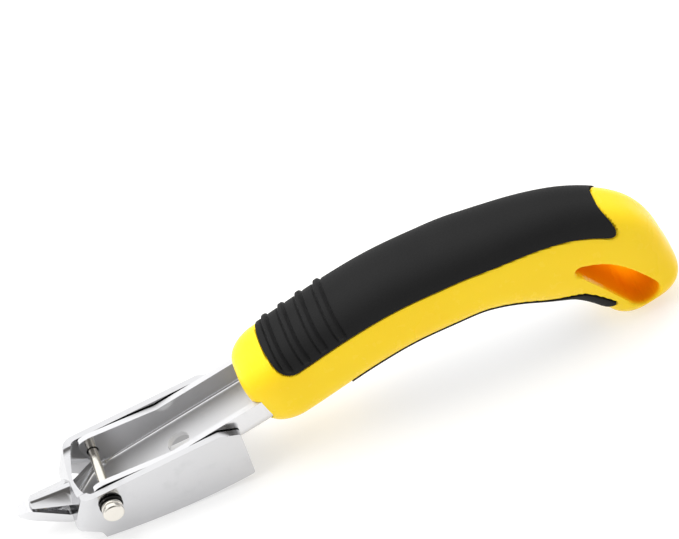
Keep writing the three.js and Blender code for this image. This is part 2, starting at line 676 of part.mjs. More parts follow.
/** The box of some of the pieces once the arm frame is pitched by an angle. */
function pitchedBox(pitch, names) {
  armFrame.position.set(0, 0, 0);
  armFrame.rotation.set(0, -pitch, 0);
  armFrame.updateMatrixWorld(true);
  const box = new THREE.Box3();
  armFrame.children.filter((child) => !names || names.includes(child.name))
    .forEach((child) => box.expandByObject(child, true));
  return box;
}

/** The pitch at which the cover's rocker edges and the handle's tail are equally low. */
function standingPitch() {
  let low = 0;
  let high = Math.PI / 6;
  for (let i = 0; i < 40; i += 1) {
    const pitch = (low + high) / 2;
    const front = pitchedBox(pitch, ['jaw_cover']).min.z;
    const rear = pitchedBox(pitch, ['handle_body', 'belly_grip']).min.z;
    if (rear < front) low = pitch;
    else high = pitch;
  }
  return (low + high) / 2;
}

const pitch = standingPitch();
const standing = pitchedBox(pitch);
armFrame.position.set(
  -(standing.min.x + standing.max.x) / 2,
  -(standing.min.y + standing.max.y) / 2,
  -standing.min.z,
);

const stapleRemover = new THREE.Group();
stapleRemover.name = 'staple_remover';
stapleRemover.add(armFrame);

export default stapleRemover;
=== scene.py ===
"""Looks of an upholstery staple remover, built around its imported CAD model.

The pressed steel pieces and the pin are refined from the CAD shapes, with rolled rims. The
moulded handle and its two rubber pads are new, dense meshes on the same line as in the CAD.
Handle points are rows of (distance along the line, y across, n off the line), in mm.
"""

import json
import logging
import math
from collections.abc import Callable, Sequence
from dataclasses import dataclass, field
from enum import Enum

import bpy
import numpy as np
from mathutils import Matrix, Vector


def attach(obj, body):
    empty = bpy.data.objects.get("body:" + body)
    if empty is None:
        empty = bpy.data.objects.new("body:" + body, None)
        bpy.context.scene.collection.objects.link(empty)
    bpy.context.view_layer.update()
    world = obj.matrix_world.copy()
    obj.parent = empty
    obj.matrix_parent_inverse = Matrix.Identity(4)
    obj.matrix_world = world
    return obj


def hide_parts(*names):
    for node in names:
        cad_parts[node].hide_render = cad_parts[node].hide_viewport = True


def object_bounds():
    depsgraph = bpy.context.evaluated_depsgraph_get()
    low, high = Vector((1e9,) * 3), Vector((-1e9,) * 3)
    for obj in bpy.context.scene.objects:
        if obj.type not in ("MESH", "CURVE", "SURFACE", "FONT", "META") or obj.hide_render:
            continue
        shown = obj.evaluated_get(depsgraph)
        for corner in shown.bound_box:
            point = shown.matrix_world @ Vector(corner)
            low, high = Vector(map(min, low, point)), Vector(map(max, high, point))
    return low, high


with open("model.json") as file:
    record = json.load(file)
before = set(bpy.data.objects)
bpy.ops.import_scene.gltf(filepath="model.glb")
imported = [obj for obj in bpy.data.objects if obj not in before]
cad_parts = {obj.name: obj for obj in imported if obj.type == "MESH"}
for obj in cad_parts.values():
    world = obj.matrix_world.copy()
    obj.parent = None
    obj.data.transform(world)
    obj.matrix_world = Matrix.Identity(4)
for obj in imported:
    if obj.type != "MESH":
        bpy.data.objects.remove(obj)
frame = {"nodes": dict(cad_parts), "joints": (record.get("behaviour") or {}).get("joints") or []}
CAD_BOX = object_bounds()

MM = 0.001
CAD_MERGE = 0.004 * MM      # vertices of a CAD copy closer than this are one
GRID_MERGE = 0.003 * MM     # and those of a new grid
FLAT_DEGREES = 1.2          # CAD faces that meet at less are one flat
TO_CAMERA = (0.149, -0.707, 0.691)    # in the arm's frame

LOG = logging.getLogger("staple_remover")


# ---------------------------------------------------------------- frames
@dataclass
class ArmFrame:
    """The arm's own frame: x back from the pin, y across, z out of the channel's open side."""

    pin: Vector = field(default_factory=lambda: Vector(frame["joints"][0]["pos_m"]))
    pitch: float = 0.0

    def __post_init__(self) -> None:
        """Reads the pitch from the arm's largest flat, the channel's floor."""
        level = 0.01
        faces = frame["nodes"]["lever_arm"].data.polygons
        floor = max((f for f in faces if abs(f.normal.y) < level), key=lambda f: f.area)
        self.pitch = math.atan2(-floor.normal.x, floor.normal.z)
        if abs(self.pitch) > math.pi / 2:
            self.pitch -= math.copysign(math.pi, self.pitch)
        LOG.info("pitch %.3f degrees", math.degrees(self.pitch))

    def place(self, local: np.ndarray) -> np.ndarray:
        """Points of the arm's frame in the row frame.

        Args:
            local: rows of (x, y, z) in mm.

        Returns:
            Rows of (x, y, z) in metres.
        """
        c, s = math.cos(self.pitch), math.sin(self.pitch)
        turned = np.stack(
            [local[:, 0] * c - local[:, 2] * s, local[:, 1], local[:, 0] * s + local[:, 2] * c], 1
        )
        return turned * MM + np.array(self.pin)

    def direction(self, x: float, y: float, z: float) -> Vector:
        """A direction of the arm's frame in the row frame."""
        c, s = math.cos(self.pitch), math.sin(self.pitch)
        return Vector((x * c - z * s, y, x * s + z * c)).normalized()


ARM = ArmFrame()


# ---------------------------------------------------------------- shader maths
class Sock:
    """A node socket or a number that adds Math nodes when it is used in an expression."""

    def __init__(self, shader: "Shader", value: object) -> None:
        """Keeps the material being made and the socket or number."""
        self.shader = shader
        self.value = value

    def _math(self, operation: str, *others: object) -> "Sock":
        """Adds one Math node.

        Args:
            operation: the Math node's operation.
            others: the further operands.

        Returns:
            The node's result.
        """
        values = [self.value] + [o.value if isinstance(o, Sock) else o for o in others]
        node = self.shader.node("ShaderNodeMath", {"operation": operation}, dict(enumerate(values)))
        return Sock(self.shader, node.outputs[0])

    def __add__(self, other: object) -> "Sock":
        """Adds."""
        return self._math("ADD", other)

    __radd__ = __add__

    def __sub__(self, other: object) -> "Sock":
        """Subtracts."""
        return self._math("SUBTRACT", other)

    def __rsub__(self, other: object) -> "Sock":
        """Subtracts this from a number."""
        return Sock(self.shader, other)._math("SUBTRACT", self)

    def __mul__(self, other: object) -> "Sock":
        """Multiplies."""
        return self._math("MULTIPLY", other)

    __rmul__ = __mul__

    def size(self) -> "Sock":
        """The value without its sign."""
        return self._math("ABSOLUTE")

    def clamped(self) -> "Sock":
        """The value held between 0 and 1."""
        return self._math("MINIMUM", 1.0)._math("MAXIMUM", 0.0)


class Shader:
    """One material and the nodes that are added to it."""

    def __init__(self, name: str) -> None:
        """Makes a material with one Principled shader."""
        self.material = bpy.data.materials.new(f"{name}_finish")
        self.material.use_nodes = True
        self.tree = self.material.node_tree
        self.base = self.tree.nodes["Principled BSDF"]

    def node(self, kind: str, settings: dict, inputs: dict) -> bpy.types.Node:
        """Adds a node.

        Args:
            kind: the node's type.
            settings: attributes set first, such as an operation.
            inputs: the value or link of each socket, by name or number.

        Returns:
            The new node.
        """
        made = self.tree.nodes.new(kind)
        for key, value in settings.items():
            setattr(made, key, value)
        for key, value in inputs.items():
            value = value.value if isinstance(value, Sock) else value
            if isinstance(value, bpy.types.NodeSocket):
                self.tree.links.new(value, made.inputs[key])
            else:
                made.inputs[key].default_value = value
        return made

    def place(self) -> bpy.types.NodeSocket:
        """The Object coordinates."""
        return self.node("ShaderNodeTexCoord", {}, {}).outputs["Object"]

    def parts(self) -> tuple[Sock, Sock, Sock]:
        """The Object coordinates one by one, in metres."""
        made = self.node("ShaderNodeSeparateXYZ", {}, {"Vector": self.place()})
        return tuple(Sock(self, made.outputs[k]) for k in range(3))

    def facing(self, way: Vector) -> Sock:
        """1 where the surface looks one way, 0 from about 26 degrees off it."""
        least, gain = 0.9, 12
        look = self.node("ShaderNodeTexCoord", {}, {}).outputs["Normal"]
        made = self.node(
            "ShaderNodeVectorMath", {"operation": "DOT_PRODUCT"}, {0: look, 1: tuple(way)}
        )
        return ((Sock(self, made.outputs["Value"]) - least) * gain).clamped()

    def spots(self, scale: float, detail: float, least: float, gain: float) -> Sock:
        """Scattered spots with soft edges.

        Args:
            scale: how fine the noise behind them is, per metre.
            detail: its octaves.
            least: the noise's value where a spot begins.
            gain: how quickly a spot fills.
        """
        return ((self.noise(scale, detail) - least) * gain).clamped()

    def noise(self, scale: float, detail: float = 3.0, stretch: Sequence[float] = (1, 1, 1)) -> Sock:
        """A noise pattern.

        Args:
            scale: how fine it is, per metre.
            detail: its octaves.
            stretch: scale along each axis.

        Returns:
            The noise, about 0.5 on average.
        """
        where = self.node("ShaderNodeMapping", {}, {"Vector": self.place(), "Scale": tuple(stretch)})
        made = self.node(
            "ShaderNodeTexNoise", {}, {"Vector": where.outputs[0], "Scale": scale, "Detail": detail}
        )
        return Sock(self, made.outputs["Fac"])

    def mixed(self, share: Sock, low: Sequence[float], high: Sequence[float]) -> bpy.types.NodeSocket:
        """A colour between two.

        Args:
            share: 0 for the low colour and 1 for the high one.
            low: a colour.
            high: another.
        """
        made = self.node(
            "ShaderNodeMix",
            {"data_type": "RGBA"},
            {"Factor": share, "A": (*low, 1), "B": (*high, 1)},
        )
        return made.outputs["Result"]

    def feed(self, name: str, value: object) -> None:
        """Sets or links one socket of the shader."""
        value = value.value if isinstance(value, Sock) else value
        if isinstance(value, bpy.types.NodeSocket):
            self.tree.links.new(value, self.base.inputs[name])
        else:
            self.base.inputs[name].default_value = value

    def bump(self, height: Sock, depth: float) -> None:
        """Feeds the Normal socket with a bump of some depth in metres."""
        made = self.node("ShaderNodeBump", {}, {"Height": height, "Distance": depth, "Strength": 1.0})
        self.feed("Normal", made.outputs[0])


# ---------------------------------------------------------------- finishes
@dataclass(frozen=True)
class PlatedSteel:
    """Bright plating over pressed sheet, with faint waves, rolling marks and rubbed spots."""

    name: str
    colour: tuple[float, float, float]
    worn: tuple[float, float, float]
    roughness: float
    spread: float = 0.07
    satin: float = 0.0
    rub_tone: float = 0.3
    cloud_tone: float = 0.25
    rub_rough: float = 0.06
    streak_rough: float = 0.03
    wave_depth: float = 0.03 * MM

    def material(self) -> bpy.types.Material:
        """The finish as a material, satin on the faces that look out of the channel."""
        shader = Shader(self.name)
        cloud = shader.noise(70, 4)
        streak = shader.noise(900, 2, (0.06, 1, 1))
        rub = shader.spots(240, 5, 0.56, 6)
        tone = rub * self.rub_tone + cloud * self.cloud_tone
        satin = shader.facing(ARM.direction(0, 0, 1)) * self.satin
        marks = rub * self.rub_rough + streak * self.streak_rough
        shader.feed("Metallic", 1.0)
        shader.feed("Base Color", shader.mixed(tone, self.colour, self.worn))
        shader.feed("Roughness", self.roughness + cloud * self.spread + marks + satin)
        shader.bump(shader.noise(45, 0), self.wave_depth)
        return shader.material


@dataclass(frozen=True)
class BlackedSteel:
    """Dark oxide on the washer, worn bright in specks."""

    name: str
    colour: tuple[float, float, float] = (0.012, 0.011, 0.01)
    worn: tuple[float, float, float] = (0.16, 0.15, 0.14)
    roughness: float = 0.34
    spread: float = 0.2
    grain_depth: float = 0.04 * MM

    def material(self) -> bpy.types.Material:
        """The finish as a material."""
        shader = Shader(self.name)
        grain = shader.noise(1500, 4)
        wear = shader.spots(700, 3, 0.6, 7)
        shader.feed("Metallic", 0.75)
        shader.feed("Base Color", shader.mixed(wear, self.colour, self.worn))
        shader.feed("Roughness", self.roughness + grain * self.spread)
        shader.bump(grain, self.grain_depth)
        return shader.material


@dataclass(frozen=True)
class MouldedPlastic:
    """Glossy moulded plastic, a little uneven in tone, with painted shade in its slot: a dull deep orange in
    place of the slot's shade and bounced light.
    """

    name: str
    colour: tuple[float, float, float]
    deep: tuple[float, float, float]
    roughness: float
    # painted shade: dull deep orange tints for the slot's walls, standing in for their shade and bounced
    # light
    slot_shade_orange: tuple[float, float, float] = (0.92, 0.36, 0.001)
    slot_shade_orange_deep: tuple[float, float, float] = (0.88, 0.3, 0.001)
    slot_shade_roughness: float = 0.8
    slot_middle: tuple[float, float, float] = (0.0777, 0.0013, 0.0175)
    slot_slope: float = -0.94
    slot_half: tuple[float, float, float] = (0.0165, 0.0078, 0.0088)
    skin_depth: float = 0.05 * MM

    def slot_shade_share(self, shader: Shader) -> Sock:
        """Where the painted slot shade goes: 1 on the slot's walls and 0 on the skin, by place.

        Args:
            shader: the material being made.

        Returns:
            The share, from a leaning oval that holds the slot and a depth under the tail's sides.
        """
        oval_size, oval_gain, depth_gain = 1.3, 4, 700
        x, y, z = (p - m for p, m in zip(shader.parts(), self.slot_middle))
        c, s = math.cos(self.slot_slope), math.sin(self.slot_slope)
        u = (x * c + z * s) * (1 / self.slot_half[0])
        v = (z * c - x * s) * (1 / self.slot_half[1])
        oval = (oval_size - (u * u + v * v)) * oval_gain
        deep = (self.slot_half[2] - y.size()) * depth_gain
        return oval.clamped() * deep.clamped()

    def material(self) -> bpy.types.Material:
        """The finish as a material."""
        shader = Shader(self.name)
        cloud = shader.noise(32, 3)
        skin = shader.noise(1900, 3)
        scuff = ((shader.noise(330, 5, (1, 0.3, 1)) - 0.6) * 8).clamped()
        tone = (cloud * 1.6 - 0.3).clamped()
        shader.feed("Base Color", shader.mixed(tone, self.colour, self.deep))
        shader.feed("Roughness", self.roughness + cloud * 0.06 + scuff * 0.08)
        shader.feed("IOR", 1.49)
        shader.feed("Specular IOR Level", 0.14)
        shader.feed("Subsurface Weight", 0.1)
        shader.feed("Subsurface Radius", (0.004, 0.002, 0.0004))
        shader.feed("Subsurface Scale", 0.6)
        shader.bump(skin * 0.5 + cloud * 0.4, self.skin_depth)
        # painted shade: a dull deep orange laid over the slot's walls
        self.paint_slot_shade(shader, cloud)
        return shader.material

    def paint_slot_shade(self, shader: Shader, cloud: Sock) -> None:
        """Puts a dull shader of a deep orange over the glossy one inside the slot, as painted shade and
        bounced light.

        Args:
            shader: the material being made.
            cloud: the share between the two painted slot shade tints.
        """
        dull = shader.node(
            "ShaderNodeBsdfPrincipled",
            {},
            {
                "Base Color": shader.mixed(cloud, self.slot_shade_orange, self.slot_shade_orange_deep),
                "Roughness": self.slot_shade_roughness,
                "Specular IOR Level": 0.0,
            },
        )
        glossy = shader.base.outputs[0]
        # painted shade: the slot mask blends the glossy skin into the dull orange
        blend = shader.node(
            "ShaderNodeMixShader", {}, {0: self.slot_shade_share(shader), 1: glossy, 2: dull.outputs[0]}
        )
        surface = shader.tree.nodes["Material Output"].inputs["Surface"]
        shader.tree.links.new(blend.outputs[0], surface)


@dataclass(frozen=True)
class GripRubber:
    """Matt black rubber with a fine pebbled skin and a grey bloom."""

    name: str
    colour: tuple[float, float, float]
    bloom: tuple[float, float, float]
    roughness: float = 0.6
    spread: float = 0.16
    pebble_depth: float = 0.07 * MM

    def material(self) -> bpy.types.Material:
        """The finish as a material."""
        shader = Shader(self.name)
        pebble = shader.noise(2600, 4)
        cloud = shader.noise(60, 3)
        tone = (cloud * 0.7 + pebble * 0.3).clamped()
        shader.feed("Base Color", shader.mixed(tone, self.colour, self.bloom))
        shader.feed("Roughness", self.roughness + pebble * self.spread)
        shader.feed("Specular IOR Level", 0.14)
        shader.bump(pebble, self.pebble_depth)
        return shader.material


class Finish(Enum):
    """The finishes of this tool."""

    CHROME = PlatedSteel("bright_plate", (0.59, 0.59, 0.6), (0.51, 0.51, 0.52), 0.12, 0.05, 0.3)
    ARM_CHROME = PlatedSteel(
        "bright_arm_plate", (0.68, 0.68, 0.69), (0.6, 0.6, 0.61), 0.12, 0.05, 0.34
    )
    NICKEL = PlatedSteel("nickel_plate", (0.72, 0.69, 0.63), (0.58, 0.55, 0.5), 0.16)
    BLACK = BlackedSteel("blacked_steel")
    YELLOW = MouldedPlastic("yellow_moulding", (0.96, 0.68, 0.018), (0.93, 0.61, 0.012), 0.24)
    RUBBER = GripRubber("pebbled_rubber", (0.0075, 0.0075, 0.0078), (0.014, 0.014, 0.014))

    def dress(self, obj: bpy.types.Object) -> None:
        """Gives an object this finish alone."""
        made = bpy.data.materials.get(f"{self.value.name}_finish") or self.value.material()
        obj.data.materials.clear()
        obj.data.materials.append(made)


# ---------------------------------------------------------------- modelling
def deselect() -> None:
    """Leaves object mode with nothing selected."""
    if bpy.context.object and bpy.context.object.mode != "OBJECT":
        bpy.ops.object.mode_set(mode="OBJECT")
    bpy.ops.object.select_all(action="DESELECT")


def activate(obj: bpy.types.Object) -> None:
    """Selects one object alone and makes it active."""
    deselect()
    obj.hide_viewport = False
    obj.select_set(True)
    bpy.context.view_layer.objects.active = obj


def settle(obj: bpy.types.Object, name: str) -> bpy.types.Object:
    """Applies the place, names the object and its mesh."""
    activate(obj)
    bpy.ops.object.transform_apply(location=True, rotation=True, scale=True)
    obj.name = obj.data.name = name
    return obj


def modify(obj: bpy.types.Object, kind: str, **settings: object) -> None:
    """Adds a modifier, sets it and applies it.

    Args:
        obj: the object.
        kind: the modifier's type.
        settings: its settings.
    """
    activate(obj)
    made = obj.modifiers.new(kind.lower(), kind)
    for key, value in settings.items():
        setattr(made, key, value)
    bpy.ops.object.modifier_apply(modifier=made.name)


def smooth(obj: bpy.types.Object, degrees: float) -> None:
    """Shades faces smooth where they meet at less than an angle."""
    activate(obj)
    bpy.ops.object.shade_smooth_by_angle(angle=math.radians(degrees))


def true_flats(obj: bpy.types.Object, degrees: float) -> None:
    """Shades an object smooth and keeps its large flats even.

    Args:
        obj: the object.
        degrees: faces that meet at less than this are shaded as one surface.
    """
    smooth(obj, degrees)
    modify(obj, "WEIGHTED_NORMAL", mode="FACE_AREA", weight=100, keep_sharp=True)


def shape(obj: bpy.types.Object, move: Callable[[np.ndarray], np.ndarray]) -> None:
    """Moves every vertex of an object by a rule.

    Args:
        obj: the object.
        move: gives the new places for all the old ones.
    """
    count = len(obj.data.vertices)
    old = np.zeros(count * 3, np.float32)
    obj.data.vertices.foreach_get("co", old)
    new = move(old.reshape(-1, 3).astype(float)).astype(np.float32)
    obj.data.vertices.foreach_set("co", new.ravel())
    obj.data.update()


def copy_of_node(node: str, name: str) -> bpy.types.Object:
    """A new object with a CAD node's shape, its triangles merged and its flats made whole."""
    source = frame["nodes"][node]
    made = bpy.data.objects.new(name, source.data.copy())
    bpy.context.scene.collection.objects.link(made)
    made.data.name = name
    activate(made)
    bpy.ops.object.mode_set(mode="EDIT")
    bpy.ops.mesh.select_all(action="SELECT")
    bpy.ops.mesh.remove_doubles(threshold=CAD_MERGE)
    bpy.ops.mesh.customdata_custom_splitnormals_clear()
    bpy.ops.mesh.dissolve_limited(angle_limit=math.radians(FLAT_DEGREES))
    bpy.ops.object.mode_set(mode="OBJECT")
    return made


def roll_rims(obj: bpy.types.Object, width: float, segments: int, degrees: float) -> None:
    """Rounds an object's sharp edges.

    Args:
        obj: the object.
        width: the rounding in mm.
        segments: its steps.
        degrees: edges sharper than this are rounded.
    """
    modify(
        obj, "BEVEL", width=width * MM, segments=segments, limit_method="ANGLE",
        angle_limit=math.radians(degrees), harden_normals=False, miter_outer="MITER_ARC",
        use_clamp_overlap=True,
    )


# ---------------------------------------------------------------- pressed steel
@dataclass
class JawCover:
    """The two cheeks, the leaning front and the blunt upper jaw, pressed from one sheet."""

    rim: float = 0.75
    rim_steps: int = 4
    rolled_over: float = 38
    smooth_under: float = 42

    def build(self) -> bpy.types.Object:
        """Builds the cover from its CAD shape and dresses it."""
        made = copy_of_node("jaw_cover", "cover_pressing")
        roll_rims(made, self.rim, self.rim_steps, self.rolled_over)
        true_flats(made, self.smooth_under)
        Finish.CHROME.dress(made)
        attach(made, "jaw_body")
        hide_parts("jaw_cover")
        return made


@dataclass
class LeverArm:
    """The channel-shaped arm with the pointed lower jaw."""

    rim: float = 0.45
    rim_steps: int = 3
    rolled_over: float = 38
    smooth_under: float = 42

    def build(self) -> bpy.types.Object:
        """Builds the arm from its CAD shape and dresses it."""
        made = copy_of_node("lever_arm", "arm_pressing")
        roll_rims(made, self.rim, self.rim_steps, self.rolled_over)
        true_flats(made, self.smooth_under)
        Finish.ARM_CHROME.dress(made)
        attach(made, "lever_body")
        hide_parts("lever_arm")
        return made


@dataclass
class Pivot:
    """The cross pin with its head, its pressed-on cap and the washer under the head."""

    washer_share: float = 0.9
    washer_bore: float = 2.5
    rim_steps: int = 3
    sharp: float = 40

    def trim(self, old: np.ndarray) -> np.ndarray:
        """Draws the washer's outer edge in toward the pin.

        Args:
            old: the washer's vertices, in metres.

        Returns:
            Their new places, with those round the bore where they were.
        """
        axis = np.array(ARM.pin)
        off = old - axis
        reach = np.hypot(off[:, 0], off[:, 2])
        share = np.where(reach > self.washer_bore * MM, self.washer_share, 1.0)[:, None]
        return axis + off * np.hstack([share, np.ones_like(share), share])

    def build(self) -> list[bpy.types.Object]:
        """Builds the pin's pieces and dresses them."""
        made = []
        for node, name, finish, slot, rim in (
            ("pivot_pin", "cross_pin", Finish.NICKEL, "nickel", 0.2),
            ("pin_cap", "pressed_cap", Finish.NICKEL, "nickel", 0.2),
            ("pin_washer", "head_washer", Finish.BLACK, "black_washer", 0.22),
        ):
            piece = copy_of_node(node, name)
            if node == "pin_washer":
                shape(piece, self.trim)
            roll_rims(piece, rim, self.rim_steps, self.sharp)
            true_flats(piece, self.sharp)
            finish.dress(piece)
            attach(piece, "jaw_body")
            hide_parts(node)
            made.append(piece)
        return made


# ---------------------------------------------------------------- handle
@dataclass
class HandleLine:
    """The handle's centreline, a centripetal Catmull-Rom curve in the arm's frame, in mm."""

    start: float = 46.5
    reach: float = 102.6
    drop: float = 46.0
    rise: float = -2.0
    shares: tuple[tuple[float, float], ...] = (
        (0, 0), (0.117, -0.006), (0.317, -0.034), (0.443, -0.029), (0.56, 0.01), (0.664, 0.062),
        (0.822, 0.229), (0.947, 0.452), (0.992, 0.743), (1, 1),
    )
    steps: int = 60

    def __post_init__(self) -> None:
        """Samples the curve and measures it."""
        p = np.array([(self.start + a * self.reach, self.rise - d * self.drop) for a, d in self.shares])
        p = np.vstack([2 * p[0] - p[1], p, 2 * p[-1] - p[-2]])
        found = []
        for a, b, c, d in zip(p, p[1:], p[2:], p[3:]):
            t0, t1, t2 = (math.dist(u, v) ** 0.5 for u, v in ((a, b), (b, c), (c, d)))
            leave = ((b - a) / t0 - (c - a) / (t0 + t1) + (c - b) / t1) * t1
            arrive = ((c - b) / t1 - (d - b) / (t1 + t2) + (d - c) / t2) * t1
            t = np.linspace(0, 1, self.steps, endpoint=False)[:, None]
            found.append(
                b + leave * t + (-3 * b + 3 * c - 2 * leave - arrive) * t**2
                + (2 * b - 2 * c + leave + arrive) * t**3
            )
        self.points = np.vstack([*found, p[-2][None]])
        hops = np.hypot(*np.diff(self.points, axis=0).T)
        self.along = np.concatenate([[0], np.cumsum(hops)])
        self.length = float(self.along[-1])

    def at(self, distance: np.ndarray) -> tuple[np.ndarray, np.ndarray]:
        """The centreline's points and upward normals.

        Args:
            distance: distances along the line in mm.

        Returns:
            Points and unit normals, each as rows of (x, z).
        """
        def point(d: np.ndarray) -> np.ndarray:
            d = np.clip(d, 0, self.length)
            return np.stack([np.interp(d, self.along, self.points[:, k]) for k in (0, 1)], 1)

        step = 0.4
        ahead, behind = point(distance + step), point(distance - step)
        tangent = (ahead - behind) / np.maximum(np.hypot(*(ahead - behind).T), 1e-9)[:, None]
        return point(distance), np.stack([-tangent[:, 1], tangent[:, 0]], 1)


def ease(x: np.ndarray, low: float, high: float) -> np.ndarray:
    """A smooth step from 0 at low to 1 at high."""
    t = np.clip((x - low) / (high - low), 0, 1)
    return t * t * (3 - 2 * t)


@dataclass
class HandleShape:
    """The handle's rounded-box section along its line."""

    line: HandleLine = field(default_factory=HandleLine)
    width: float = 24.0
    height: float = 24.0
    tail_width: float = 19.4
    tail_height: float = 30.8
    tail_point: float = 0.72
    squareness: float = 3.1
    waist: tuple[float, float] = (12, 70)
    hook: tuple[float, float] = (34, 62)
    taper: tuple[float, float] = (2, 25)
    nose_round: tuple[float, float] = (10, 0.55)
    tail_round: tuple[float, float] = (7, 0.3)

    def size(self, distance: np.ndarray) -> tuple[np.ndarray, np.ndarray]:
        """Half widths and half heights at distances along the line.

        The waist, the hook and the taper are each a stretch measured from the tail. The ends are
        rounded over a reach, down to a least share of the section.
        """
        from_tail = self.line.length - distance

        def full(d: np.ndarray, reach: float, least: float) -> np.ndarray:
            t = np.clip(d / reach, 0, 1)
            return least + (1 - least) * np.sqrt(1 - (1 - t) ** 2)

        narrowing = ease(from_tail, *self.waist)
        hook = 1 - ease(from_tail, *self.hook)
        point = self.tail_point + (1 - self.tail_point) * ease(from_tail, *self.taper)
        ends = full(distance, *self.nose_round) * full(from_tail, *self.tail_round)
        width = (self.tail_width + (self.width - self.tail_width) * narrowing) / 2 * ends
        height = (self.height + (self.tail_height - self.height) * hook) / 2 * ends * point
        return width, height

    def ring(self, half_width: float, half_height: float, share: np.ndarray) -> tuple[np.ndarray, float]:
        """Points round the section, evenly spaced.

        Args:
            half_width: half the width in mm.
            half_height: half the height in mm.
            share: where round the section, 0 at the top and 0.5 at the bottom.

        Returns:
            Rows of (y, n) and the section's whole length round in mm.
        """
        turn = np.linspace(0, 2 * math.pi, 1441)
        power = 2 / self.squareness
        y = np.sign(np.sin(turn)) * np.abs(np.sin(turn)) ** power * half_width
        n = np.sign(np.cos(turn)) * np.abs(np.cos(turn)) ** power * half_height
        run = np.concatenate([[0], np.cumsum(np.hypot(np.diff(y), np.diff(n)))])
        where = (share % 1.0) * run[-1]
        return np.stack([np.interp(where, run, y), np.interp(where, run, n)], 1), float(run[-1])

    def skin(self, distance: np.ndarray, share: np.ndarray, squeeze: np.ndarray) -> np.ndarray:
        """Points on the skin as (distance, y, n).

        Args:
            distance: distances along the line.
            share: places round the section, as many.
            squeeze: the section's size as a share of its own, as many.

        Returns:
            Handle points.
        """
        width, height = self.size(distance)
        out = np.zeros((len(distance), 3))
        out[:, 0] = distance
        keys = np.round(distance, 5)
        for key in np.unique(keys):
            row = np.nonzero(keys == key)[0]
            out[row, 1:] = self.ring(width[row[0]], height[row[0]], share[row])[0] * squeeze[row][:, None]
        return out

    def outward(self, dyn: np.ndarray) -> np.ndarray:
        """The skin's outward direction in the section, for rows of (distance, y, n)."""
        width, height = self.size(dyn[:, 0])
        e = self.squareness - 1
        gy = np.sign(dyn[:, 1]) * (np.abs(dyn[:, 1]) / width) ** e / width
        gn = np.sign(dyn[:, 2]) * (np.abs(dyn[:, 2]) / height) ** e / height
        g = np.stack([gy, gn], 1)
        return g / np.maximum(np.hypot(*g.T), 1e-12)[:, None]

    def world(self, dyn: np.ndarray) -> np.ndarray:
        """Handle points as points in the row frame, held inside the CAD's box.

        Args:
            dyn: handle points.

        Returns:
            Rows of (x, y, z) in metres.
        """
        point, normal = self.line.at(dyn[:, 0])
        over = np.maximum(dyn[:, 0] - self.line.length, 0) + np.minimum(dyn[:, 0], 0)
        tangent = np.stack([normal[:, 1], -normal[:, 0]], 1)
        flat = point + normal * dyn[:, 2:3] + tangent * over[:, None]
        placed = ARM.place(np.stack([flat[:, 0], dyn[:, 1], flat[:, 1]], 1))
        low, high = (np.array(corner) for corner in CAD_BOX)
        return np.clip(placed, low, high)


class Face(Enum):
    """Which side of the handle a pad is on."""

    TOP = 1
    BELLY = -1


